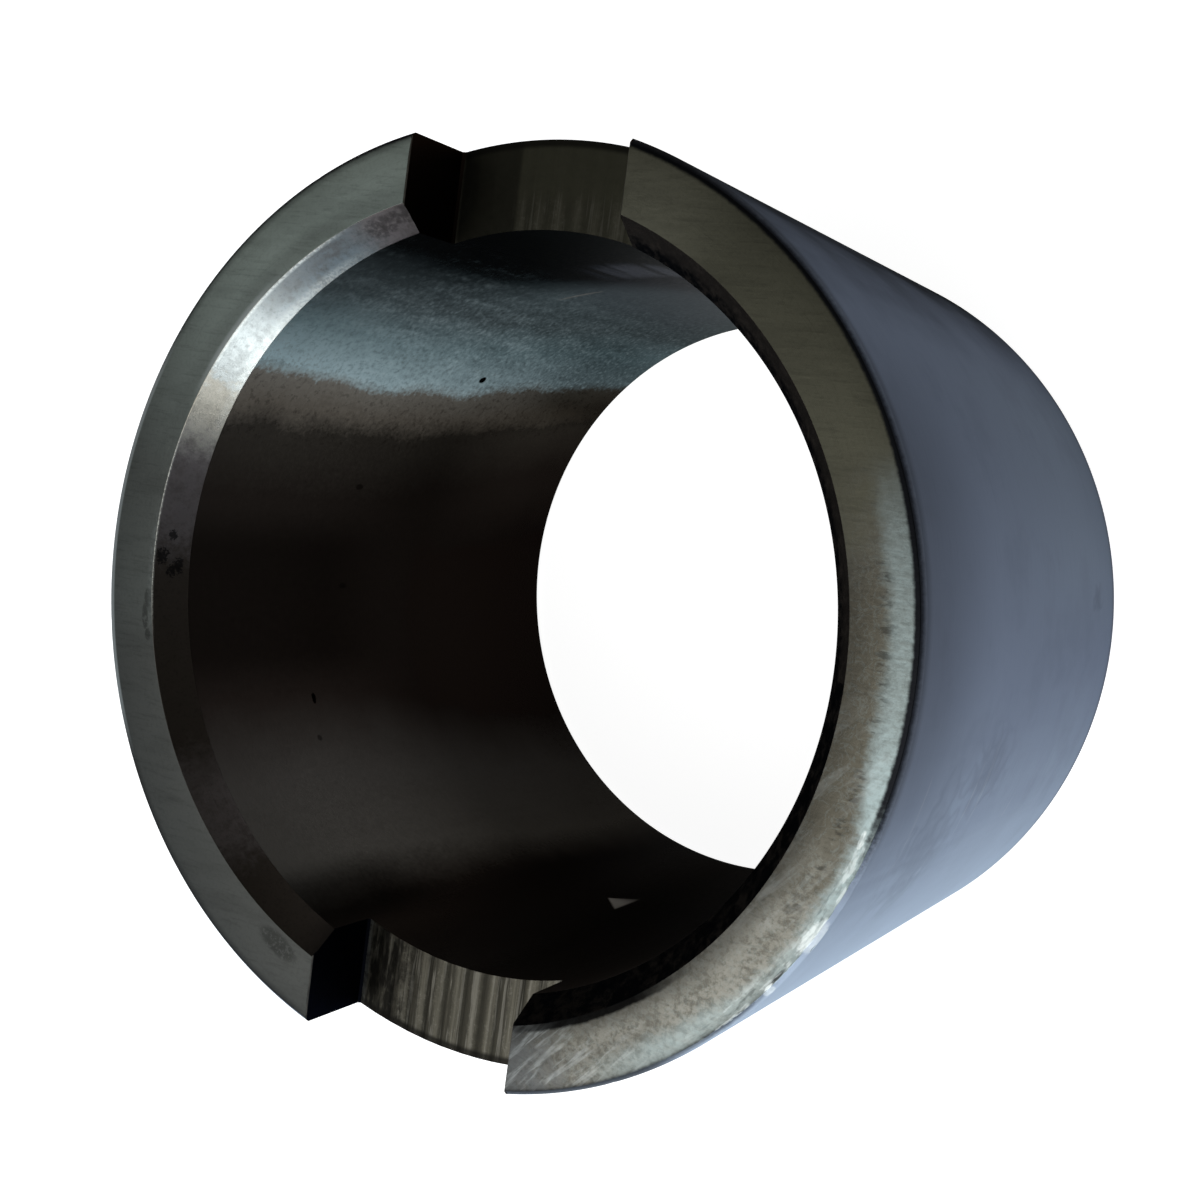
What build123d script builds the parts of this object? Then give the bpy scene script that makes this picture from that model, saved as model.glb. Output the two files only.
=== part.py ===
from build123d import *

import os

# Shaft sleeve: a plain turned steel ring that slides over a pump shaft and takes the wear of the seal.
# One end of the bore has a wide lead-in chamfer, and a drive slot is milled straight across that end,
# which leaves two flat-floored notches opposite each other. The other end is faced plain.
# Sizes are in millimetres. +Z runs along the bore, out of the slotted end, and the plain end lies on Z = 0.
# The slot runs along Y.

# The turned ring
bore_diameter = 85.0
wall_thickness = 10.0
sleeve_length = 85.0

# Lead-in chamfer of the bore, at the slotted end
lead_in_width = 2.5
lead_in_depth = 3.5

# Small bevels that take the sharpness off the other turned edges
rim_bevel = 0.5
plain_end_bore_bevel = 1.0

# The drive slot, with the small corner that the milling cutter leaves at the foot of each wall
slot_width = 27.5
slot_depth = 10.0
slot_corner_radius = 0.4

# The cutter runs this far past the ring, to the sides and above
cutter_overrun = 5.0

bore_radius = bore_diameter / 2
outer_radius = bore_radius + wall_thickness
slot_floor_height = sleeve_length - slot_depth


def turned_ring():
    """The ring before milling: half of its lengthwise section, turned about the axis of the bore."""
    half_section = Polyline(
        (bore_radius + plain_end_bore_bevel, 0),
        (outer_radius - rim_bevel, 0),
        (outer_radius, rim_bevel),
        (outer_radius, sleeve_length - rim_bevel),
        (outer_radius - rim_bevel, sleeve_length),
        (bore_radius + lead_in_width, sleeve_length),
        (bore_radius, sleeve_length - lead_in_depth),
        (bore_radius, plain_end_bore_bevel),
        close=True,
    )
    return revolve(Plane.XZ * make_face(half_section), Axis.Z)


def slot_cutter():
    """The space that the milling cutter clears, straight across the end of the ring."""
    section = Rectangle(slot_width, slot_depth + cutter_overrun, align=(Align.CENTER, Align.MIN))
    foot_corners = section.vertices().group_by(Axis.Y)[0]
    section = fillet(foot_corners, slot_corner_radius)
    across = Plane.XZ * Pos(0, slot_floor_height) * section
    return extrude(across, amount=outer_radius + cutter_overrun, both=True)


shaft_sleeve = turned_ring() - slot_cutter()
shaft_sleeve.label = "shaft_sleeve"

os.makedirs("parts", exist_ok=True)
export_step(shaft_sleeve, "parts/shaft_sleeve.step")
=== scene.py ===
import math

import bpy
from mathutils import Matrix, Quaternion, Vector


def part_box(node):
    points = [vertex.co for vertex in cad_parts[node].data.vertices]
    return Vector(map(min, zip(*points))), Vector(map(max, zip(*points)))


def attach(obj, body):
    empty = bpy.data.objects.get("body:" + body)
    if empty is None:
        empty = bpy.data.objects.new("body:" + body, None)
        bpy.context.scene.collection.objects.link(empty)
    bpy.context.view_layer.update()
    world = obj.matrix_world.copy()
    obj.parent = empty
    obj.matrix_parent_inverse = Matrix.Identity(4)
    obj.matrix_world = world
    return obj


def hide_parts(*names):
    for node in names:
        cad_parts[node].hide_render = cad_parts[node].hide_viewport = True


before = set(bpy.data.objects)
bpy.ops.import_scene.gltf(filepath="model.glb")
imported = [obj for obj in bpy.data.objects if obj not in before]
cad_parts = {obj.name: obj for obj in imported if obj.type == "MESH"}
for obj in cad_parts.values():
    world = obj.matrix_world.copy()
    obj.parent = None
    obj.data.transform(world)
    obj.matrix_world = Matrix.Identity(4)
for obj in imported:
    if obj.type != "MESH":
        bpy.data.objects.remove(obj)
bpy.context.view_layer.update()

# The shaft sleeve stands on its plain end. Its bore runs along Z, and the drive slot runs along Y.
# Lengths are in metres and angles in degrees. An angle round the bore is counted from X towards Y.
mm = 0.001


# Helpers for node trees

class Value:
    # Something that a node tree works out. A sum written with it, such as cloud * 0.5 + 1, adds its nodes.
    def __init__(self, socket):
        self.socket = socket
        self.tree = socket.id_data

    def __add__(self, other):
        return calculate("ADD", self, other)

    def __sub__(self, other):
        return calculate("SUBTRACT", self, other)

    def __rsub__(self, other):
        return calculate("SUBTRACT", other, self)

    def __mul__(self, other):
        return calculate("MULTIPLY", self, other)

    def __truediv__(self, other):
        return calculate("DIVIDE", self, other)

    __radd__ = __add__
    __rmul__ = __mul__


def addNode(tree, kind, sockets=None, **settings):
    made = tree.nodes.new(kind)
    for name, value in settings.items():
        setattr(made, name, value)
    for name, value in (sockets or {}).items():
        plug(value, made.inputs[name])
    return made


def plug(value, target):
    if isinstance(value, Value):
        value.tree.links.new(value.socket, target)
    else:
        target.default_value = value


def fromNode(kind, sockets, output=0, **settings):
    # Adds a node to the tree that its inputs come from, and hands back one of its outputs.
    tree = next(value.tree for value in sockets.values() if isinstance(value, Value))
    return Value(addNode(tree, kind, sockets, **settings).outputs[output])


def calculate(operation, *values):
    return fromNode("ShaderNodeMath", dict(enumerate(values)), operation=operation)


def larger(first, second):
    return calculate("MAXIMUM", first, second)


def smaller(first, second):
    return calculate("MINIMUM", first, second)


def above(value, limit):
    return calculate("GREATER_THAN", value, limit)


def below(value, limit):
    return calculate("LESS_THAN", value, limit)


def vectorMath(operation, *values, output="Vector"):
    return fromNode("ShaderNodeVectorMath", dict(enumerate(values)), output, operation=operation)


def scaled(vector, share):
    return fromNode("ShaderNodeVectorMath", {0: vector, "Scale": share}, operation="SCALE")


def separate(vector):
    return [Value(axis) for axis in addNode(vector.tree, "ShaderNodeSeparateXYZ", {0: vector}).outputs]


def combine(x, y, z):
    return fromNode("ShaderNodeCombineXYZ", {0: x, 1: y, 2: z})


def rise(value, start, end):
    # 0 before start and 1 after end, with a soft step between them; start may be the larger of the two.
    return fromNode("ShaderNodeMapRange", {0: value, 1: start, 2: end}, interpolation_type="SMOOTHSTEP")


def zone(value, start, full, fading, end):
    # 1 from full to fading, and 0 before start and after end
    return rise(value, start, full) * rise(value, end, fading)


def between(value, start, end, soft):
    return zone(value, start - soft, start + soft, end - soft, end + soft)


def wander(value, pattern, reach):
    # Moves a value to both sides by a pattern, so that an edge drawn with it is ragged.
    return value + (pattern - 0.5) * reach


def blend(share, first, second, kind="MIX"):
    sockets = {0: share, 6: first, 7: second}
    return fromNode("ShaderNodeMix", sockets, 2, data_type="RGBA", blend_type=kind)


def tone(code):
    # A colour written as on screen, such as "808080", turned into the light values that shaders use.
    shares = [int(code[start:start + 2], 16) / 255 for start in (0, 2, 4)]
    return (*(share / 12.92 if share <= 0.04045 else ((share + 0.055) / 1.055) ** 2.4 for share in shares), 1)


def noise(point, scale, detail=2.0, roughness=0.5, distortion=0.0):
    sockets = {"Vector": point, "Scale": scale, "Detail": detail, "Roughness": roughness}
    return fromNode("ShaderNodeTexNoise", {**sockets, "Distortion": distortion})


def stretchedNoise(point, stretch, detail=3.0, roughness=0.6, distortion=0.0):
    return noise(vectorMath("MULTIPLY", point, stretch), 1.0, detail, roughness, distortion)


# Shape of the sleeve: a section turned about the bore, then cut by a ridged milling cutter

sleeveShape = {
    "outerRadius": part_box("shaft_sleeve")[1].x,
    "boreRadius": 42.5 * mm,
    "length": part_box("shaft_sleeve")[1].z,
    "leadInWidth": 2.5 * mm,
    "leadInDepth": 3.5 * mm,
    "rimBevel": 0.5 * mm,
    "plainEndBevel": 1.0 * mm,
    "edgeRounding": 0.09 * mm,
    "rollOffWidth": 2.6 * mm,               # the end face falls away a little towards its rim
    "rollOffDrop": 0.1 * mm,
    "nickDepth": 0.12 * mm,
    "nickWidth": (1.6 * mm, 0.4 * mm),      # in from the rim: where nicks begin, and where they are deepest
    "nickHeight": (1.3 * mm, 0.5 * mm),     # down from the end face, likewise
    "knockedSide": (-55, -12, 8),
    "lessKnockedSide": (-12, 20, 6),
    "segments": 720,
    "smoothBelow": 18,                      # edges that turn less than this are shaded smooth
}

slotShape = {
    "width": 27.5 * mm,
    "depth": 10.0 * mm,
    "footRadius": 0.4 * mm,
    "edgeBreak": 0.14 * mm,
    "ridgeCount": 11,
    "ridgeHeight": 0.03 * mm,
    "ridgeUnevenness": 0.025 * mm,
    "ridgeDrift": 0.8,                      # how far the edge of a pass strays, as a share of its width
    "stepsPerRidge": 12,
    "cutterSpan": 2.4,                      # length of the cut, in outer radii
    "seed": 7,
}


def roundedSection(shape):
    inner, outer, top = shape["boreRadius"], shape["outerRadius"], shape["length"]
    rim = outer - shape["rimBevel"]
    rollOff = []
    for share in (1, 0.8, 0.6, 0.4, 0.2, 0):
        rollOff.append((rim - shape["rollOffWidth"] * (1 - share), top - shape["rollOffDrop"] * share ** 2))
    corners = [
        (inner + shape["plainEndBevel"], 0),
        (rim, 0),
        (outer, shape["rimBevel"]),
        (outer, top - shape["rimBevel"] - shape["rollOffDrop"]),
        *rollOff,
        (inner + shape["leadInWidth"], top),
        (inner, top - shape["leadInDepth"]),
        (inner, shape["plainEndBevel"]),
    ]
    points = []
    for index, corner in enumerate(corners):
        here = Vector(corner)
        before = (Vector(corners[index - 1]) - here).normalized() * shape["edgeRounding"]
        after = (Vector(corners[(index + 1) % len(corners)]) - here).normalized() * shape["edgeRounding"]
        for share in (0, 0.25, 0.5, 0.75, 1):
            points.append(here + before * (1 - share) ** 2 + after * share ** 2)
    return points


def sectionCurve(shape):
    points = roundedSection(shape)
    curve = bpy.data.curves.new("sleeveSection", "CURVE")
    curve.dimensions = "3D"
    spline = curve.splines.new("POLY")
    spline.points.add(len(points) - 1)
    for spot, point in zip(spline.points, points):
        spot.co = (point.x - shape["outerRadius"], -point.y, 0, 1)
    spline.use_cyclic_u = True
    made = bpy.data.objects.new("sleeveSection", curve)
    bpy.context.scene.collection.objects.link(made)
    return made


def openTree(name, values):
    # A tree with an input for the section, and one for each value by its own kind
    tree = bpy.data.node_groups.new(name, "GeometryNodeTree")
    tree.interface.new_socket(name="Geometry", in_out="OUTPUT", socket_type="NodeSocketGeometry")
    tree.interface.new_socket(name="Section", in_out="INPUT", socket_type="NodeSocketGeometry")
    kinds = {int: "NodeSocketInt", float: "NodeSocketFloat", bpy.types.Material: "NodeSocketMaterial"}
    identifiers = {}
    for label, value in values.items():
        made = tree.interface.new_socket(name=label, in_out="INPUT", socket_type=kinds[type(value)])
        identifiers[label] = made.identifier
    given = {socket.name: Value(socket) for socket in addNode(tree, "NodeGroupInput").outputs}
    return tree, identifiers, given


def turnedRing(given):
    sockets = {"Resolution": given["Segments"], "Radius": given["Outer radius"]}
    rail = fromNode("GeometryNodeCurvePrimitiveCircle", sockets, "Curve")
    rail = fromNode("GeometryNodeSetCurveNormal", {"Curve": rail}, mode="Z_UP")
    sockets = {"Curve": rail, "Profile Curve": given["Section"], "Fill Caps": False}
    ring = fromNode("GeometryNodeCurveToMesh", sockets)
    return fromNode("GeometryNodeFlipFaces", {"Mesh": ring})    # drawn upside down, so turned right way out


def meshPlace(tree):
    position = Value(addNode(tree, "GeometryNodeInputPosition").outputs[0])
    x, y, z = separate(position)
    flat = vectorMath("MULTIPLY", position, (1, 1, 0))
    return {
        "x": x,
        "y": y,
        "z": z,
        "flat": flat,
        "aside": vectorMath("NORMALIZE", flat),
        "radius": vectorMath("LENGTH", flat, output="Value"),
    }


def nickedRim(given, ring):
    # Small dents in the rim of the slotted end, most of them on the side that has been knocked.
    place = meshPlace(ring.tree)
    outerStart, outerFull = [sleeveShape["outerRadius"] - inwards for inwards in sleeveShape["nickWidth"]]
    lowStart, lowFull = [sleeveShape["length"] - down for down in sleeveShape["nickHeight"]]
    nearRim = rise(place["radius"], outerStart, outerFull) * rise(place["z"], lowStart, lowFull)
    turn = calculate("ARCTAN2", place["y"], place["x"]) * (180 / math.pi)
    knocked = between(turn, *sleeveShape["knockedSide"]) * 0.07
    knocked = knocked + between(turn, *sleeveShape["lessKnockedSide"]) * 0.02
    dents = noise(place["flat"], 520.0, 4.0, 0.75)
    depth = rise(dents + knocked, 0.6, 0.8) * nearRim * given["Nick depth"]
    outAndUp = vectorMath("ADD", place["aside"], (0, 0, 0.8))
    sockets = {"Geometry": ring, "Offset": scaled(outAndUp, depth * -1)}
    return fromNode("GeometryNodeSetPosition", sockets)


def cutterPass(across, width, count):
    # Which pass of the cutter a place belongs to, with the passes a little uneven in width.
    drift = noise(combine(across, 0, 0), 300.0)
    return (across + width * 0.5) / (width / count) + (drift - 0.5) * slotShape["ridgeDrift"]


def millingCutter(tree, given):
    # A block as long as the cut, whose underside has one shallow trough for each pass of the cutter.
    width, footRadius, edgeBreak = given["Slot width"], given["Foot radius"], given["Edge break"]
    halfWidth = width * 0.5
    span = given["Outer radius"] * slotShape["cutterSpan"]
    columns = given["Ridge count"] * given["Steps per ridge"] + 1
    sockets = {"Size": combine(width, span, 1), "Vertices X": columns, "Vertices Y": 2, "Vertices Z": 4}
    block = fromNode("GeometryNodeMeshCube", sockets, "Mesh")
    x, y, z = separate(Value(addNode(tree, "GeometryNodeInputPosition").outputs[0]))
    # A trough is a parabola across its pass. No two are equally deep, and all are shallower towards +Y.
    passPlace = cutterPass(x, width, given["Ridge count"])
    passNumber = calculate("FLOOR", passPlace)
    fromMiddle = passPlace - passNumber - 0.5
    sockets = {"Seed": given["Seed"], "ID": passNumber}
    uneven = fromNode("FunctionNodeRandomValue", sockets, 1, data_type="FLOAT")
    trough = fromMiddle * fromMiddle * given["Ridge height"] * 4 + uneven * given["Ridge unevenness"]
    trough = trough * (y / span * -1.1 + 0.65)
    # The foot of each wall is a quarter round, the cutter's own corner.
    intoFoot = (calculate("ABSOLUTE", x) - (halfWidth - footRadius)) / footRadius
    intoFoot = smaller(larger(intoFoot, 0), 1)
    foot = (1 - calculate("SQRT", 1 - intoFoot * intoFoot)) * footRadius
    underside = given["Length"] - given["Slot depth"] + larger(trough, foot)
    # The block has four levels: its underside, the start of the edge break, the ring's face, and its top.
    level = calculate("ROUND", z * 3 + 1.5)
    aboveUnderside, aboveBreak, aboveFace = [above(level, step) for step in (0.5, 1.5, 2.5)]
    breakStart = given["Length"] - edgeBreak
    height = underside + aboveUnderside * (breakStart - underside)
    height = height + aboveBreak * edgeBreak + aboveFace * given["Slot depth"]
    widening = x / halfWidth * edgeBreak * aboveBreak
    widening = widening + widening * aboveFace * 10
    sockets = {"Geometry": block, "Position": combine(x + widening, y, height)}
    return fromNode("GeometryNodeSetPosition", sockets)


def giveFinishes(given, whole):
    # Each face takes its finish from the way it faces, and in the slot from where it is.
    place = meshPlace(whole.tree)
    normal = Value(addNode(whole.tree, "GeometryNodeInputNormal").outputs[0])
    outwards = vectorMath("DOT_PRODUCT", normal, place["aside"], output="Value")
    upwards = separate(normal)[2]
    slotReach = given["Slot width"] * 0.5 + given["Edge break"]
    justUnder = given["Length"] - given["Slot depth"] - 0.02 * mm
    inSlot = below(calculate("ABSOLUTE", place["x"]), slotReach) * above(place["z"], justUnder)
    finishes = {
        "End face finish": True,
        "Outside finish": above(outwards, 0.55),
        "Lead-in finish": below(outwards, -0.3) * above(upwards, 0.2),
        "Bore finish": below(outwards, -0.93),
        "Slot wall finish": inSlot,
        "Slot floor finish": inSlot * above(upwards, 0.8),
    }
    for finish, where in finishes.items():
        sockets = {"Geometry": whole, "Selection": where, "Material": given[finish]}
        whole = fromNode("GeometryNodeSetMaterial", sockets)
    return whole


def sleeveTree(values):
    tree, identifiers, given = openTree("turnedAndMilledSleeve", values)
    sockets = {"Mesh 1": nickedRim(given, turnedRing(given)), "Mesh 2": millingCutter(tree, given)}
    whole = fromNode("GeometryNodeMeshBoolean", sockets, "Mesh", operation="DIFFERENCE", solver="EXACT")
    whole = fromNode("GeometryNodeMergeByDistance", {"Geometry": whole, "Distance": 0.001 * mm})
    whole = fromNode("GeometryNodeSetShadeSmooth", {"Geometry": whole}, domain="FACE")
    edgeAngle = Value(addNode(tree, "GeometryNodeInputMeshEdgeAngle").outputs[0])
    gentle = below(edgeAngle, math.radians(sleeveShape["smoothBelow"]))
    sockets = {"Geometry": whole, "Shade Smooth": gentle}
    whole = fromNode("GeometryNodeSetShadeSmooth", sockets, domain="EDGE")
    whole = fromNode("GeometryNodeRealizeInstances", {"Geometry": whole})
    addNode(tree, "NodeGroupOutput", {"Geometry": giveFinishes(given, whole)})
    return tree, identifiers


# Finishes. Every pattern is laid out in millimetres and degrees about the bore.
# A side named in a finish has its start, its end and the softness of both.
# One with four numbers has the angles where it starts, is full, begins to fade and ends.

def openFinish(name, finish):
    material = bpy.data.materials.new(name)
    material.use_nodes = True
    shader = material.node_tree.nodes["Principled BSDF"]
    shader.inputs["Metallic"].default_value = finish["metallic"]
    shader.inputs["Specular Tint"].default_value = finish["edgeTint"]
    shader.inputs["Specular IOR Level"].default_value = finish["gloss"]
    return material, sleevePlace(material.node_tree)


def closeFinish(material, colour, roughness, relief, bump):
    inputs = material.node_tree.nodes["Principled BSDF"].inputs
    strength, depth = bump
    sockets = {"Height": relief, "Strength": strength, "Distance": depth * mm}
    plug(colour, inputs["Base Color"])
    plug(roughness, inputs["Roughness"])
    plug(fromNode("ShaderNodeBump", sockets), inputs["Normal"])
    print("finish made:", material.name)
    return material


def sleevePlace(tree):
    # Turn runs from -180 to 180, with its seam on the -X side.
    # FullTurn runs from 0 to 360, with its seam on the +X side.
    point = Value(addNode(tree, "ShaderNodeTexCoord").outputs["Object"])
    point = vectorMath("MULTIPLY", point, (1000, 1000, 1000))
    x, y, z = separate(point)
    flat = vectorMath("MULTIPLY", point, (1, 1, 0))
    degrees = 180 / math.pi
    return {
        "point": point,
        "x": x,
        "y": y,
        "height": z,
        "radius": vectorMath("LENGTH", flat, output="Value"),
        "around": vectorMath("NORMALIZE", flat),
        "turn": calculate("ARCTAN2", y, x) * degrees,
        "fullTurn": calculate("ARCTAN2", y * -1, x * -1) * degrees + 180,
    }


def turnedLines(place, aroundScale, lineScale, along, roughness=0.7):
    # Fine lines that run round the bore, with no seam anywhere.
    lines = combine(0, 0, place[along] * lineScale)
    return noise(vectorMath("ADD", scaled(place["around"], aroundScale), lines), 1.0, 3.0, roughness)


def spots(turn, level, ragged, places):
    # Each spot has its angle, its height or radius, and its half-size both ways, in degrees and millimetres.
    result = 0.0
    for angle, middle, halfTurn, halfLevel in places:
        across = (turn - angle) / halfTurn
        along = (level - middle) / halfLevel
        away = wander(across * across + along * along, ragged, 1.6)
        result = larger(rise(away, 1.3, 0.5), result)
    return result


def chip(turn, height, size):
    # A pale three-cornered chip, with its point at the smaller angle, that fades deeper into the bore
    run = (turn - size["point"]) / size["long"]
    across = calculate("ABSOLUTE", height - size["height"])
    inside = rise(run * size["halfHeight"] - across, -0.1, 0.6)
    fade = rise(height, size["height"] - 4, size["height"] + 1) * 0.75 + 0.25
    return inside * rise(run, 1.06, 0.9) * fade


def scratch(turn, height, ragged, size):
    # One scratch that climbs the bore as it runs round it
    middle = size["height"] - size["slope"] * size["turn"]
    places = [(size["turn"], middle, size["halfTurn"], size["halfWidth"])]
    return spots(turn, height - turn * size["slope"], ragged, places)


def tonesRound(turn, tones):
    # Runs from tone to tone round the bore, each at its own angle.
    ramp = addNode(turn.tree, "ShaderNodeValToRGB", {0: turn / 360})
    stops = ramp.color_ramp.elements
    stops.remove(stops[1])
    angles = sorted(tones)
    stops[0].position = angles[0] / 360
    stops[0].color = tones[angles[0]]
    for angle in angles[1:]:
        stops.new(angle / 360).color = tones[angle]
    return Value(ramp.outputs[0])


outsideFinish = {
    "slate": tone("b4c2d3"),
    "shadedSlate": tone("8c96ab"),
    "tarnishAndShade": tone("2b2825"),
    "rimLine": tone("15161a"),
    "scratch": tone("c3c8cf"),
    "glint": tone("e4eaec"),
    "paleSide": (8, 42, 8),
    "paintedShadeSide": (40, 70, 118, 158),
    "scratchedSide": (-90, -10, 6),
    "blotchedSide": (-34, 46, 10),
    "darkRimSide": (-34, -4, 20, 46),
    "lowRimSide": (-118, -96, -56, -46),
    "bareRimSide": (-38, -17, 6),
    "shadedUnderRimSide": (-22, 158, 12),
    "thinLineSide": (-110, -44, 6),
    "dullSide": (58, 150, 12),
    "dullSpots": [(-20, 66, 10, 9), (-12, 52, 6, 9), (9, 11, 3, 3)],
    "glints": [(-28.2, 84.7, 2.2, 0.45), (-36.5, 84.65, 0.8, 0.3)],
    "metallic": 0.06,
    "gloss": 0.0,
    "roughness": 0.46,
    "edgeTint": tone("707070"),
    "bump": (0.12, 0.02),       # strength, and depth in millimetres
}


def groundOutside(finish):
    # Ground and blued by handling: a smooth slate film, with painted shade turning it dark and brown towards
    # +Y.
    material, place = openFinish("groundOutside", finish)
    point, turn, height = place["point"], place["turn"], place["height"]
    cloud = noise(point, 0.07, 3.0, 0.55)
    streaks = stretchedNoise(point, (0.25, 0.25, 0.015), 2.0, 0.5)
    lines = turnedLines(place, 6.0, 9.0, "height")
    grain = noise(point, 2.2, 2.0, 0.6)
    softTurn = wander(wander(turn, cloud, 14), streaks, 8)
    # Painted shade: the slate turns deeper away from the -Y side
    paintedShadeRound = larger(rise(softTurn, -52, 4), rise(softTurn, -110, -160))
    colour = blend(paintedShadeRound, finish["slate"], finish["shadedSlate"])
    paler = rise(height, 70, 10) * between(turn, *finish["paleSide"])
    colour = blend(paler * 0.24, colour, finish["slate"])
    # Painted shade: dark and brown round the +Y side
    colour = blend(zone(softTurn, *finish["paintedShadeSide"]) * 0.93, colour, finish["tarnishAndShade"])
    colour = blend(rise(lines, 0.5, 0.75) * 0.1, colour, finish["tarnishAndShade"])
    # A few light scratches round the middle, dull spots by both ends and faint blotches
    scratches = rise(stretchedNoise(point, (0.04, 0.04, 1.3), 2.0, 0.6, 0.6), 0.66, 0.7)
    scratches = scratches * rise(cloud, 0.5, 0.6) * between(turn, *finish["scratchedSide"])
    colour = blend(scratches * 0.3, colour, finish["scratch"])
    patches = rise(noise(point, 0.2), 0.3, 0.65)
    dull = spots(turn, height, patches, finish["dullSpots"]) * patches
    blotches = rise(noise(point, 0.09, 4.0, 0.62), 0.46, 0.68) * between(turn, *finish["blotchedSide"])
    colour = blend(dull * 0.24 + blotches * 0.07, colour, finish["tarnishAndShade"])
    # Painted shade towards the rim of the slotted end, most of all low on the -Y side; darker also at the
    # foot
    darkRim = rise(height, 56, 84) * zone(turn, *finish["darkRimSide"])
    lowRim = rise(height, 76, 80.5) * zone(turn, *finish["lowRimSide"])
    foot = rise(height, 2.2, 0.6)
    colour = blend(foot * 0.4 + darkRim * 0.4 + lowRim * 0.78, colour, finish["tarnishAndShade"])
    # Painted shade: the slotted rim's bevel is black, with a softer shade below it, save where it was
    # knocked.
    bare = between(wander(turn, grain, 8), *finish["bareRimSide"])
    shadeUnderRim = rise(height, 82.4, 84.6) * (1 - bare) * between(turn, *finish["shadedUnderRimSide"])
    colour = blend(shadeUnderRim * 0.4, colour, finish["tarnishAndShade"])
    lineShare = 0.92 - bare * 0.9 - between(turn, *finish["thinLineSide"]) * 0.25
    colour = blend(rise(wander(height, grain, 0.2), 84.3, 84.85) * lineShare, colour, finish["rimLine"])
    # Painted highlights on the knocked rim
    glints = spots(turn, height, grain, finish["glints"]) * (grain * 0.7 + 0.2)
    colour = blend(glints, colour, finish["glint"])
    metallic = (1 - between(turn, *finish["dullSide"])) * finish["metallic"]
    plug(metallic, material.node_tree.nodes["Principled BSDF"].inputs["Metallic"])
    roughness = wander(finish["roughness"], cloud, 0.1) + lines * 0.08
    return closeFinish(material, colour, roughness, lines + grain * 0.4, finish["bump"])


endFaceFinish = {
    "grey": tone("626360"),
    "olive": tone("57564a"),
    "pale": tone("aeb9b2"),
    "lightOlive": tone("7a796b"),
    "brown": tone("555249"),
    "silver": tone("83827b"),
    "cool": tone("74777a"),
    "bright": tone("828f90"),
    "dark": tone("232220"),
    "rim": tone("17181b"),
    "litRim": tone("bcc2c2"),
    "sootAndShade": tone("020203"),
    "brownSide": (-92, 18, 10),
    "silverSide": (-70, -26, 8),
    "coolSide": (-100, -68, 6),
    "paleSide": (100, 106, 130, 178),
    "farPaleSide": (172, 192, 6),
    "lightOliveSide": (54, 68, 96, 104),
    "dullerSide": (-68, -51, 4),
    "bandSide": (-58, 20, 6),
    "brightBandSide": (-30, -6, 7),
    "faintBandSide": (-6, 24, 6),
    "narrowBandSide": (-41, -13, 5),
    "dashedSide": (-30, 22, 6),
    "scratchedSide": (-84, -56, 6),
    "lessScratchedSide": (-34, -4, 6),
    "shadedRimSide": (-110, -92, -30, -12),
    "wideBevelSide": (-18, 26, 6),
    "lessWideBevelSide": (26, 100, 6),
    "bareRimSide": (-38, -17, 6),
    "knockedSide": (-47, -15, 4),
    "litRimSide": (153, 206, 6),
    "darkLineSide": (100, 108, 250, 256),
    "farCornerSide": (174, 192, 4),
    "litCornerSide": (134, 152, 6),
    "sootAndShadeSide": (-72, -46, 7),
    "stains": [
        (187.9, 45.7, 1.6, 0.6),
        (190.6, 46.2, 2.2, 0.5),
        (193.3, 45.9, 1.0, 0.5),
        (246, 46.8, 4, 1.3),
    ],
    "glints": [
        (-28.7, 51.7, 2.4, 0.6),
        (-27, 52, 1.6, 0.5),
        (-16.2, 51.1, 1.2, 0.3),
        (-36.2, 51.9, 0.7, 0.15),
    ],
    "nicks": [(-34.7, 51.8, 1.5, 0.2)],
    "metallic": 1.0,
    "gloss": 0.5,
    "roughness": 0.37,
    "edgeTint": tone("d0d0d0"),
    "bump": (0.28, 0.05),
}


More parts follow.
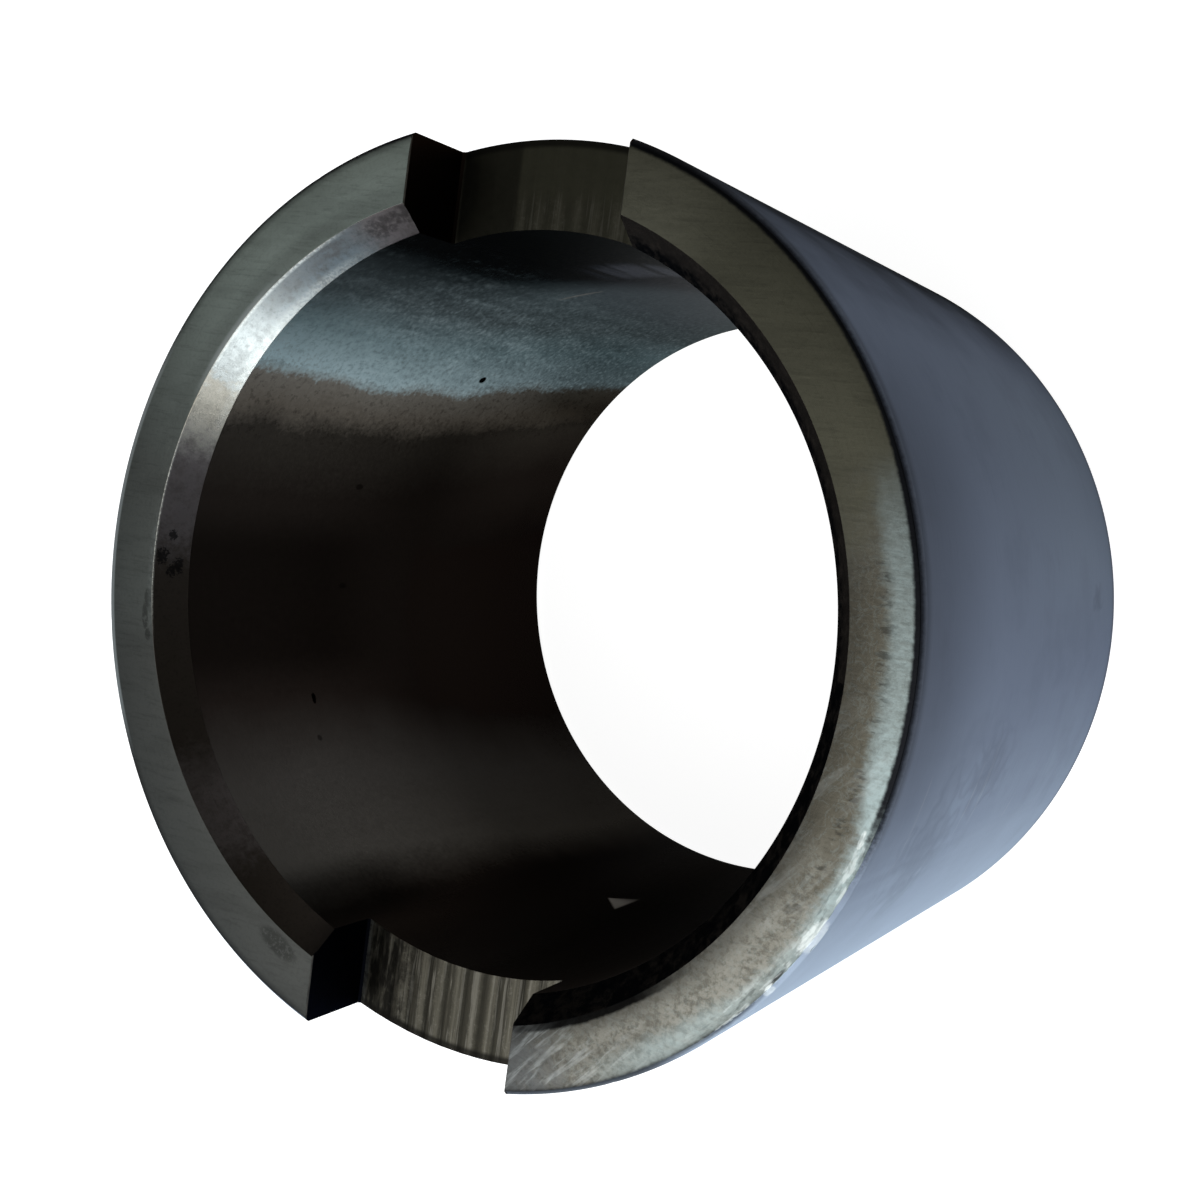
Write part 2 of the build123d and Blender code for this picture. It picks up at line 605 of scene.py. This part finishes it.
def turnedEndFace(finish):
    # Faced and stoned: a leathery brown mottle on the side towards the light, smoother and greener elsewhere.
    material, place = openFinish("turnedEndFace", finish)
    turn, fullTurn, radius, point = place["turn"], place["fullTurn"], place["radius"], place["point"]
    cloud = noise(point, 0.12, 3.0, 0.6)
    mottle = noise(point, 1.4, 4.0, 0.66)
    soft = noise(point, 0.5, 3.0, 0.6)
    grain = noise(point, 2.4, 2.0, 0.6)
    veins = between(noise(point, 0.75, 3.0, 0.6, 0.9), 0.485, 0.515, 0.03)
    lines = turnedLines(place, 5.0, 6.0, "radius")
    alongRim = turnedLines(place, 16.0, 1.5, "radius", 0.6)
    crossLines = stretchedNoise(point, (0.3, 2.6, 0.1))
    smears = stretchedNoise(point, (0.07, 0.4, 0.1))
    smudges = stretchedNoise(point, (0.4, 1.1, 0.1))
    sockets = {"Vector": point, "Angle": math.radians(-50)}
    slantPoint = fromNode("ShaderNodeVectorRotate", sockets, rotation_type="Z_AXIS")
    slantLines = stretchedNoise(slantPoint, (0.14, 1.1, 0.1), distortion=0.3)
    leather = soft * 0.35 + mottle * 0.65
    # Broad tones round the face
    slant = wander(turn, cloud, 26)
    colour = blend(rise(slant, 8, 24) * rise(turn, 104, 96), finish["grey"], finish["olive"])
    colour = blend(zone(turn, *finish["lightOliveSide"]) * 0.6, colour, finish["lightOlive"])
    # Painted shade: a little darker from 205 degrees on
    colour = blend(rise(fullTurn, 205, 245) * 0.1, colour, finish["dark"])
    # Painted sheen: pale between +Y and -X, a little darker towards the inner edge
    pale = zone(fullTurn, *finish["paleSide"])
    colour = blend(pale, colour, finish["pale"])
    colour = blend(pale * rise(radius, 48.4, 46.2) * 0.3, colour, finish["dark"])
    colour = blend(rise(smears, 0.46, 0.66) * 0.14, colour, finish["dark"])
    brown = between(slant, *finish["brownSide"])
    colour = blend(brown, colour, finish["brown"])
    silverShare = rise(leather, 0.58, 0.42) * 0.42 + 0.38
    colour = blend(between(slant, *finish["silverSide"]) * silverShare, colour, finish["silver"])
    colour = blend(between(wander(turn, soft, 16), *finish["coolSide"]) * 0.7, colour, finish["cool"])
    colour = blend(rise(leather, 0.48, 0.62) * brown * 0.22, colour, finish["dark"])
    colour = blend(veins * brown * 0.2, colour, finish["bright"])
    bySlot = rise(wander(turn, soft, 8), -62, -74) * rise(turn, -110, -92)
    colour = blend(bySlot * 0.53, colour, finish["dark"])
    duller = between(turn, *finish["dullerSide"]) * rise(radius, 47.4, 48.8)
    colour = blend(duller * 0.2, colour, finish["dark"])
    innerShade = rise(wander(radius, mottle, 3), 48.0, 45.2) * brown * (rise(turn, -14, -22) * 0.25 + 0.35)
    colour = blend(innerShade, colour, finish["dark"])
    # Painted sheen, faint, on the -X side
    colour = blend(between(fullTurn, *finish["farPaleSide"]) * 0.1, colour, finish["pale"])
    colour = blend(rise(grain, 0.46, 0.7) * 0.1, colour, finish["dark"])
    colour = blend(rise(lines, 0.55, 0.75) * 0.12, colour, finish["dark"])
    colour = blend(rise(crossLines, 0.52, 0.7) * 0.16, colour, finish["dark"])
    # The burnished band by the rim is brushed across and fades inwards, with short marks on its inner edge.
    # The band is partly burnish and partly a painted highlight, strongest between -30 and -6 degrees.
    bandStart = between(turn, *finish["narrowBandSide"]) * 0.9 + rise(turn, -4, -20) * 0.8 + 48.85
    intoBand = wander(wander(radius, crossLines, 1.4), soft, 1.8) - bandStart
    bandShare = between(wander(turn, cloud, 12), *finish["bandSide"]) * 0.6
    bandShare = bandShare + between(turn, *finish["brightBandSide"]) * 0.4
    bandShare = bandShare + between(turn, *finish["faintBandSide"]) * 0.08
    fibres = rise(crossLines, 0.62, 0.38) * 0.2 + rise(mottle, 0.62, 0.4) * 0.2 + 0.74
    band = rise(intoBand, -0.9, 1.0) * bandShare * fibres
    colour = blend(smaller(band, 1), colour, finish["bright"])
    dashes = rise(smudges, 0.53, 0.66) * between(radius, 48.1, 49.4, 0.7)
    dashes = dashes * between(turn, *finish["dashedSide"])
    colour = blend(dashes * 0.6, colour, finish["dark"])
    scratches = between(turn, *finish["scratchedSide"]) * 0.26
    scratches = scratches + between(turn, *finish["lessScratchedSide"]) * 0.08
    scratches = rise(slantLines, 0.48, 0.66) * scratches * rise(cloud, 0.3, 0.5)
    colour = blend(scratches, colour, finish["litRim"])
    # Stains by the lead-in on the far side, then painted shade: a soft shade by the rim and the dark bevel
    # round it
    stains = spots(fullTurn, radius, mottle, finish["stains"]) * rise(mottle, 0.36, 0.52)
    colour = blend(stains * 0.5, colour, finish["dark"])
    rimShade = rise(radius, 50.9, 52.1) * zone(turn, *finish["shadedRimSide"])
    colour = blend(rimShade * 0.4, colour, finish["dark"])
    widened = between(turn, *finish["wideBevelSide"]) * 0.48
    widened = widened + between(turn, *finish["lessWideBevelSide"]) * 0.3
    bevel = rise(wander(radius, mottle, 0.3) + widened, 51.65, 52.1)
    bare = between(wander(turn, mottle, 8), *finish["bareRimSide"])
    bevel = bevel * (1 - bare) * (1 - rise(turn, -38, -50) * 0.2)
    knocked = rise(radius, 50.2, 51.2) * between(turn, *finish["knockedSide"]) * 0.4
    nicks = spots(turn, radius, mottle, finish["nicks"]) * 0.8
    nicks = larger(nicks, rise(alongRim, 0.46, 0.34) * knocked)
    colour = blend(larger(bevel, nicks), colour, finish["rim"])
    # Painted highlights on edges and on the knocked rim, and a dark line of painted shade on the rest of the
    # rim
    onLitSide = between(fullTurn, *finish["litRimSide"])
    litRim = zone(radius, 51.3, 51.6, 51.9, 52.1) * onLitSide * 0.9
    farCorner = rise(radius, 46.0, 45.3) * between(fullTurn, *finish["farCornerSide"])
    farCorner = farCorner * rise(mottle, 0.4, 0.6) * 0.14
    litCorner = rise(radius, 45.9, 45.3) * between(fullTurn, *finish["litCornerSide"]) * 0.9
    glints = spots(turn, radius, mottle, finish["glints"]) * (rise(alongRim, 0.4, 0.56) * 0.5 + 0.25)
    glints = larger(glints, rise(alongRim, 0.5, 0.64) * knocked)
    colour = blend(larger(litRim + farCorner + litCorner, glints), colour, finish["litRim"])
    darkLine = rise(radius, 51.0, 51.7) * zone(fullTurn, *finish["darkLineSide"]) * (1 - onLitSide)
    colour = blend(darkLine * 0.35, colour, finish["rim"])
    # The lead-in's black, partly soot and partly painted shade, reaches over the inner edge in one place.
    sootAndShade = rise(wander(radius, soft, 0.6), 46.0, 45.6) * between(turn, *finish["sootAndShadeSide"])
    colour = blend(sootAndShade * 0.95, colour, finish["sootAndShade"])
    roughness = wander(finish["roughness"], mottle, 0.14) - band * 0.05
    relief = mottle * brown * 1.2 + (lines + crossLines) * 0.5 + grain * 0.3
    return closeFinish(material, colour, roughness, relief, finish["bump"])


leadInFinish = {
    "brushed": tone("878a87"),
    "cream": tone("918b7e"),
    "stained": tone("5a5555"),
    "cloudy": tone("50575a"),
    "grimy": tone("37322e"),
    "black": tone("0c0d0f"),
    "edge": tone("a8a9a3"),
    "wipedSide": (123, 143, 154, 167),
    "wornSide": (98, 108, 140, 146),
    "farWornSide": (156, 180, 4),
    "cloudySide": (113, 120, 140, 150),
    "creamSide": (150, 153, 156, 166),
    "stainedSide": (215, 231, 5),
    "farCornerSide": (163, 190, 5),
    "outerCornerSide": (121, 152, 4),
    "innerCornerSide": (121, 158, 8),
    "stains": [
        (181.1, 84.2, 1.3, 0.6),
        (182.6, 82.6, 1.3, 0.5),
        (183.4, 83.2, 1, 0.5),
        (177.7, 83.4, 0.9, 0.4),
    ],
    "fadedStains": [(109, 84.0, 3.0, 1.0), (113.5, 83.6, 3.0, 1.2)],
    "metallic": 1.0,
    "gloss": 0.5,
    "roughness": 0.25,
    "edgeTint": tone("808080"),
    "bump": (0.3, 0.04),
}


def turnedLeadIn(finish):
    # Turned with a fine feed, wiped clean on one side, and brown to black with old oil elsewhere.
    material, place = openFinish("turnedLeadIn", finish)
    point, turn, height = place["point"], place["fullTurn"], place["height"]
    mottle = noise(point, 1.1, 4.0, 0.66)
    soft = noise(point, 0.6)
    speckle = noise(point, 2.6, 2.0, 0.6)
    crumbs = rise(noise(point, 3.4, 3.0, 0.7), 0.3, 0.7)
    lines = turnedLines(place, 5.0, 5.0, "height")
    brush = turnedLines(place, 22.0, 0.5, "height", 0.6)
    edge = wander(turn, mottle, 9)
    # Black on the +X side, partly old oil and partly painted shade
    oily = rise(turn, 100, 90) + rise(turn, 246, 258)
    colour = blend(oily, finish["grimy"], finish["black"])
    worn = zone(edge, *finish["wornSide"]) + between(edge, *finish["farWornSide"])
    colour = blend(smaller(worn, 1), colour, finish["stained"])
    colour = blend(zone(edge, *finish["cloudySide"]), colour, finish["cloudy"])
    wiped = zone(edge, *finish["wipedSide"])
    colour = blend(wiped, colour, finish["brushed"])
    colour = blend(zone(edge, *finish["creamSide"]) * 0.8, colour, finish["cream"])
    colour = blend(between(edge, *finish["stainedSide"]), colour, finish["stained"])
    # Painted shade with grime by the face, below 144 degrees
    dull = rise(turn, 144, 132) * rise(wander(height, mottle, 2), 82.2, 83.6)
    colour = blend(dull * 0.4, colour, finish["grimy"])
    smudged = rise(mottle + brush, 0.9, 1.25) * (1 - wiped * 0.6)
    colour = blend(smudged * 0.4, colour, finish["grimy"])
    colour = blend(rise(speckle, 0.5, 0.7) * 0.15, colour, finish["black"])
    stains = spots(turn, height, crumbs, finish["stains"])
    faded = spots(turn, height, soft, finish["fadedStains"]) * rise(mottle, 0.34, 0.6)
    colour = blend(larger(stains * 0.8, faded * 0.45), colour, finish["black"])
    # Painted highlights on the corners here and there on the wiped side.
    corners = rise(height, 84.8, 84.95) * between(turn, *finish["farCornerSide"])
    corners = corners + rise(height, 84.6, 84.9) * between(turn, *finish["outerCornerSide"]) * 0.7
    corners = corners + rise(height, 82.7, 81.9) * between(turn, *finish["innerCornerSide"]) * 0.5
    colour = blend(corners * (rise(speckle, 0.4, 0.6) * 0.5 + 0.3), colour, finish["edge"])
    roughness = finish["roughness"] + mottle * 0.2 + oily * 0.35
    return closeFinish(material, colour, roughness, lines + mottle, finish["bump"])


boreFinish = {
    # Degrees round the bore, and how the bare steel or its oil film looks there
    # The light tones from 127 to 145.5 degrees also carry a painted sheen.
    "tones": {
        90: tone("525b5f"),
        127: tone("535d60"),
        136: tone("6e8186"),
        145.5: tone("8fa3a9"),
        147.5: tone("66645f"),
        153: tone("55514b"),
        157.5: tone("2c2a27"),
        170: tone("1e1b19"),
        206: tone("1e1a18"),
        221: tone("363432"),
        238: tone("3e3c39"),
        248: tone("221f1d"),
    },
    "oil": tone("1b1715"),
    "thinOil": tone("2e3031"),
    "haze": tone("50535a"),
    "fleck": tone("b4c6cb"),
    "pit": tone("050404"),
    "scar": tone("8b8781"),
    "deepShadeSide": (120, 132, 142, 150),
    "deepLightSide": (153, 160, 170, 190),
    "shadedMouthSide": (175, 202, 5),
    "nearShadedMouthSide": (239, 251, 4),
    "hazySide": (84, 102, 4),
    "bareSide": (104, 132, 145, 148),
    "fleckedSide": (147, 160, 2),
    "driedSide": (264, 330, 10),
    "pits": [(141, 37.8, 0.8, 0.7), (206.5, 60.5, 1.0, 0.4)],
    "faintPits": [(214, 61.7, 0.6, 0.5), (186, 52, 0.5, 0.8), (167, 52, 0.6, 0.8)],
    "scratch": {"turn": 112.0, "height": 42.0, "halfTurn": 3.8, "halfWidth": 0.35, "slope": 0.42},
    "chip": {"point": 265.9, "long": 4.5, "height": 35.3, "halfHeight": 3.9},
    "metallic": 1.0,
    "gloss": 0.5,
    "roughness": 0.44,
    "edgeTint": tone("a0a0a0"),
    "bump": (0.2, 0.05),
}


def honedBore(finish):
    # Bare honed steel with a painted sheen on one side, and a ragged edge where the brown oil film begins.
    material, place = openFinish("honedBore", finish)
    point, turn, height = place["point"], place["fullTurn"], place["height"]
    grain = noise(point, 1.6, 3.0, 0.65)
    flecks = noise(point, 1.1, 4.0, 0.7)
    cloud = noise(point, 0.11, 4.0, 0.6)
    streaks = stretchedNoise(point, (0.5, 0.5, 0.04))
    patches = stretchedNoise(point, (0.3, 0.3, 0.14))
    lines = turnedLines(place, 5.0, 4.0, "height")
    # The tones lean round the bore as they go deeper.
    ragged = wander(wander(turn, grain, 4), cloud, 6)
    bareLean = rise(height, 56, -10) * rise(turn, 205, 180) * 12
    oiledLean = rise(height, 60, 4) * rise(turn, 185, 215) * 8
    spread = ragged + bareLean - oiledLean
    # Painted light: brighter towards the mouth, dimmer deeper in, and never darker than the oil film
    pull = (rise(spread, 128, 142) * 0.65 + 0.35) / 28
    paintedLightByDepth = larger(calculate("POWER", 2.1, (height - 48) * pull), 0.7)
    # Painted shade deep in the sheen and by the mouth, and painted light deep in on the brown side
    deepShade = rise(height, 34, 14) * zone(turn, *finish["deepShadeSide"]) * 0.5
    deepLight = rise(height, 42, 12) * zone(spread, *finish["deepLightSide"]) * 1.1
    shadedMouth = between(turn, *finish["shadedMouthSide"]) * rise(height, 36, 58) * 0.5
    shadedMouth = shadedMouth + between(turn, *finish["nearShadedMouthSide"]) * rise(height, 50, 72) * 0.55
    paintedLightByDepth = paintedLightByDepth * (1 - deepShade) * (1 + deepLight) * (1 - shadedMouth)
    colour = scaled(tonesRound(spread, finish["tones"]), paintedLightByDepth)
    oilTone = blend(rise(turn, 132, 116), finish["oil"], finish["thinOil"])
    oilTone = scaled(oilTone, 1 - rise(height, 20, 80) * 0.5)
    oilEdge = rise(height, 18, 62) * 30 + 90
    colour = blend(rise(ragged - oilEdge, 7, -8), colour, oilTone)
    haze = between(turn, *finish["hazySide"]) * between(height, 44, 53, 2.5) * rise(streaks, 0.3, 0.6)
    thinHaze = rise(ragged, 118, 108) * between(height, 8, 44, 6) * 0.25
    colour = blend(larger(haze, thinHaze), colour, finish["haze"])
    # Soft streaks and a fine grain on the bare steel, and brown flecks below its ragged edge
    bare = zone(spread, *finish["bareSide"])
    patchy = flecks * 0.6 + streaks * 0.4 + patches * 0.4
    colour = blend(bare * rise(patchy, 0.66, 0.96) * rise(height, 6, 50) * 0.35, colour, finish["fleck"])
    colour = blend(rise(patchy, 0.74, 0.44) * (bare * 0.22 + 0.12), colour, finish["oil"])
    colour = blend(bare * rise(grain, 0.48, 0.68) * 0.26, colour, finish["oil"])
    colour = blend(bare * rise(grain, 0.5, 0.3) * 0.15, colour, finish["fleck"])
    brown = between(spread, *finish["fleckedSide"]) * rise(flecks, 0.52, 0.64)
    colour = blend(brown * 0.35, colour, finish["oil"])
    colour = blend(1.0, colour, oilTone, "LIGHTEN")
    faintPits = spots(turn, height, grain, finish["faintPits"]) * 0.5
    colour = blend(larger(spots(turn, height, grain, finish["pits"]), faintPits), colour, finish["pit"])
    scars = chip(turn, height, finish["chip"]) * 0.75
    scars = larger(scars, scratch(turn, height, grain, finish["scratch"]) * 0.4)
    colour = blend(scars, colour, finish["scar"])
    # The old oil on the near side has dried to a dull black.
    roughness = wander(finish["roughness"], grain, 0.2) + between(turn, *finish["driedSide"]) * 0.4
    return closeFinish(material, colour, roughness, grain * 1.2 + lines * 0.5, finish["bump"])


slotFinish = {
    "wallBlue": tone("0d0f16"),
    "wallBrown": tone("1b140f"),
    "wallBlack": (0.002, 0.002, 0.002, 1),
    "floor": tone("58554c"),
    "groove": tone("35332d"),
    "crest": tone("7e7b73"),
    "grime": tone("191816"),
    "oily": tone("3e3d33"),
    "corner": tone("5c5e5c"),
    "metallic": 1.0,
    "gloss": 0.5,
    "roughness": 0.42,
    "edgeTint": tone("a0a0a0"),
    "wallBump": (0.3, 0.05),
    "floorBump": (0.35, 0.06),
}


def milledWall(finish):
    # Side of the cutter: nearly black with oil, bluer on the -Y side and browner on the +Y side.
    material, place = openFinish("milledWall", finish)
    cloud = noise(place["point"], 0.5, 4.0, 0.6)
    sweep = stretchedNoise(place["point"], (0.3, 0.3, 3.0))
    colour = blend(rise(place["y"], -20, 20), finish["wallBlue"], finish["wallBrown"])
    colour = blend(cloud * 0.5, colour, finish["wallBlack"])
    # Painted highlight along the top edge of the wall
    colour = blend(rise(place["height"], 84.75, 84.95) * cloud * 0.9, colour, finish["crest"])
    roughness = wander(finish["roughness"], cloud, 0.2)
    return closeFinish(material, colour, roughness, sweep + cloud, finish["wallBump"])


def milledFloor(finish):
    # Floor of the cutter: one ridge for each pass, with finer lines between.
    material, place = openFinish("milledFloor", finish)
    point, x, radius = place["point"], place["x"], place["radius"]
    farNotch = rise(place["y"], -10, 10)
    grain = noise(point, 1.7, 4.0, 0.75)
    fine = stretchedNoise(point, (1.9, 0.06, 0.1), 3.0, 0.7)
    wave = calculate("PINGPONG", cutterPass(x * mm, slotShape["width"], slotShape["ridgeCount"]), 0.5)
    # Painted light on the crests and painted shade in the grooves of the ridges
    crest = rise(wander(wander(wave, fine, 0.4), grain, 0.25), 0.14, 0.42)
    colour = blend(crest, finish["groove"], finish["floor"])
    colour = blend(crest * rise(grain, 0.52, 0.7) * 0.35, colour, finish["crest"])
    colour = blend(rise(fine, 0.5, 0.58) * 0.4, colour, finish["groove"])
    colour = blend(rise(fine, 0.46, 0.38) * 0.4, colour, finish["crest"])
    # Painted shade and grime by the -X wall, dark with oil in the far notch but for a patch near the bore
    grimy = rise(stretchedNoise(point, (1.3, 0.3, 0.1)), 0.38, 0.58)
    wallShadeAndGrime = rise(wander(x, grain, 6), -4.5, -9.5) * (grimy * 0.65 + 0.3)
    colour = blend(wallShadeAndGrime, colour, finish["grime"])
    colour = blend(rise(x, -12.9, -13.3) * rise(grain, 0.3, 0.6) * 0.5, colour, finish["corner"])
    nearBore = rise(wander(radius, fine, 4), 47.2, 44.6) * rise(x, -6.4, -5.4)
    oily = farNotch * (0.97 - nearBore * 0.38)
    colour = blend(oily, colour, finish["oily"])
    colour = blend(farNotch * rise(x, -5.4, -6.0) * 0.6, colour, finish["grime"])
    colour = blend(rise(radius, 51.4, 52.0) * 0.85, colour, finish["grime"])
    roughness = wander(finish["roughness"], grain, 0.2)
    return closeFinish(material, colour, roughness, (grain + fine) * (1 - oily * 0.75), finish["floorBump"])


def makeSleeve():
    values = {
        "Outer radius": sleeveShape["outerRadius"],
        "Length": sleeveShape["length"],
        "Segments": sleeveShape["segments"],
        "Nick depth": sleeveShape["nickDepth"],
        "Slot width": slotShape["width"],
        "Slot depth": slotShape["depth"],
        "Foot radius": slotShape["footRadius"],
        "Edge break": slotShape["edgeBreak"],
        "Ridge count": slotShape["ridgeCount"],
        "Ridge height": slotShape["ridgeHeight"],
        "Ridge unevenness": slotShape["ridgeUnevenness"],
        "Steps per ridge": slotShape["stepsPerRidge"],
        "Seed": slotShape["seed"],
        "Outside finish": groundOutside(outsideFinish),
        "End face finish": turnedEndFace(endFaceFinish),
        "Lead-in finish": turnedLeadIn(leadInFinish),
        "Bore finish": honedBore(boreFinish),
        "Slot wall finish": milledWall(slotFinish),
        "Slot floor finish": milledFloor(slotFinish),
    }
    section = sectionCurve(sleeveShape)
    tree, identifiers = sleeveTree(values)
    modifier = section.modifiers.new("turnedAndMilledSleeve", "NODES")
    modifier.node_group = tree
    for label, value in values.items():
        modifier[identifiers[label]] = value
    bpy.context.view_layer.update()
    evaluated = section.evaluated_get(bpy.context.evaluated_depsgraph_get())
    mesh = bpy.data.meshes.new_from_object(evaluated)
    bpy.data.objects.remove(section)
    sleeve = bpy.data.objects.new("sleeve", mesh)
    bpy.context.scene.collection.objects.link(sleeve)
    print("sleeve turned and milled:", len(mesh.polygons), "faces")
    return sleeve


sleeve = makeSleeve()
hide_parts("shaft_sleeve")
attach(sleeve, "root")


# Floor, lamps, world and camera

white = (1, 1, 1, 1)

surroundings = {
    "floorReach": 3,
    "paper": tone("c4c4c4"),
    "paperWhite": 0.93,             # how much of the floor is white to the eye; the rest keeps the shadow
    "dimSide": tone("6a6a66"),      # ambient light from the +Y side
    "litSide": tone("8a9299"),      # ambient light from the -Y side
    "horizonTop": 0.2,
    "horizonFull": 0.1,
}


def whiteToTheEye(tree):
    # 1 for what the camera sees, straight or in metal or glass, and 0 for the light that falls on things.
    path = addNode(tree, "ShaderNodeLightPath").outputs
    seen = Value(path["Is Camera Ray"]) + Value(path["Is Glossy Ray"]) + Value(path["Is Transmission Ray"])
    return smaller(seen, 1)


def makeFloor():
    mesh = bpy.data.meshes.new("floor")
    reach = surroundings["floorReach"]
    corners = [(-reach, -reach, 0), (reach, -reach, 0), (reach, reach, 0), (-reach, reach, 0)]
    mesh.from_pydata(corners, [], [(0, 1, 2, 3)])
    floor = bpy.data.objects.new("floor", mesh)
    bpy.context.scene.collection.objects.link(floor)
    material = bpy.data.materials.new("paper")
    material.use_nodes = True
    tree = material.node_tree
    tree.nodes.clear()
    paper = Value(addNode(tree, "ShaderNodeBsdfDiffuse", {"Color": surroundings["paper"]}).outputs[0])
    share = whiteToTheEye(tree) * surroundings["paperWhite"]
    glow = fromNode("ShaderNodeEmission", {"Color": white, "Strength": share})
    both = fromNode("ShaderNodeAddShader", {0: paper, 1: glow})
    addNode(tree, "ShaderNodeOutputMaterial", {"Surface": both})
    mesh.materials.append(material)


def makeWorld():
    world = bpy.data.worlds.new("studio")
    world.use_nodes = True
    tree = world.node_tree
    x, y, z = separate(Value(addNode(tree, "ShaderNodeTexCoord").outputs["Generated"]))
    ambient = blend(rise(y, 0.4, -0.6), surroundings["dimSide"], surroundings["litSide"])
    horizon = rise(z, surroundings["horizonTop"], surroundings["horizonFull"])
    colour = blend(horizon * whiteToTheEye(tree), ambient, white)
    plug(colour, tree.nodes["Background"].inputs["Color"])
    bpy.context.scene.world = world


lamps = {
    # Direction from the sleeve in degrees round and up, then distance, size, brightness and colour
    "overhead": {
        "round": -96,
        "up": 63,
        "distance": 0.9,
        "width": 0.8,
        "height": 0.8,
        "brightness": 2.2,
        "colour": (1.0, 0.99, 0.96),
    },
    "window": {
        "round": -58,
        "up": 18,
        "distance": 0.8,
        "width": 0.16,
        "height": 0.3,
        "brightness": 9.0,
        "colour": (0.93, 0.97, 1.0),
    },
    "sideSheet": {
        "round": -78,
        "up": 26,
        "distance": 1.2,
        "width": 1.0,
        "height": 0.7,
        "brightness": 2.8,
        "colour": (0.82, 0.91, 1.0),
    },
}


def makeLamp(name, lamp):
    data = bpy.data.lights.new(name, "AREA")
    data.shape = "RECTANGLE"
    data.size = lamp["width"]
    data.size_y = lamp["height"]
    data.energy = lamp["brightness"] * math.pi * lamp["width"] * lamp["height"]
    data.color = lamp["colour"]
    made = bpy.data.objects.new(name, data)
    bpy.context.scene.collection.objects.link(made)
    turn, lift = math.radians(lamp["round"]), math.radians(lamp["up"])
    outwards = Vector((math.cos(turn) * math.cos(lift), math.sin(turn) * math.cos(lift), math.sin(lift)))
    middle = Vector((0, 0, sleeveShape["length"] / 2))
    made.location = middle + outwards * lamp["distance"]
    made.rotation_mode = "QUATERNION"
    made.rotation_quaternion = outwards.to_track_quat("Z", "Y")
    made.visible_camera = False


cameraView = {
    "place": (96.05 * mm, 18.36 * mm, 224.56 * mm),
    "target": (1.04 * mm, 0.45 * mm, 42.5 * mm),
    "roll": -91.64,
    "lens": 46.87,
    "sensorWidth": 36,
    "shiftX": -0.0417,
    "clipStart": 0.01,
    "clipEnd": 50,
}


def makeCamera(view):
    data = bpy.data.cameras.new("camera")
    data.lens = view["lens"]
    data.sensor_width = view["sensorWidth"]
    data.shift_x = view["shiftX"]
    data.clip_start = view["clipStart"]
    data.clip_end = view["clipEnd"]
    camera = bpy.data.objects.new("camera", data)
    bpy.context.scene.collection.objects.link(camera)
    looking = Vector(view["target"]) - Vector(view["place"])
    roll = Quaternion((0, 0, 1), math.radians(view["roll"]))
    camera.location = view["place"]
    camera.rotation_mode = "QUATERNION"
    camera.rotation_quaternion = looking.to_track_quat("-Z", "Y") @ roll
    bpy.context.scene.camera = camera


makeFloor()
makeWorld()
for lampName, lampSettings in lamps.items():
    makeLamp(lampName, lampSettings)
makeCamera(cameraView)
bpy.context.scene.view_settings.view_transform = "Standard"
print("floor, lamps and camera placed")
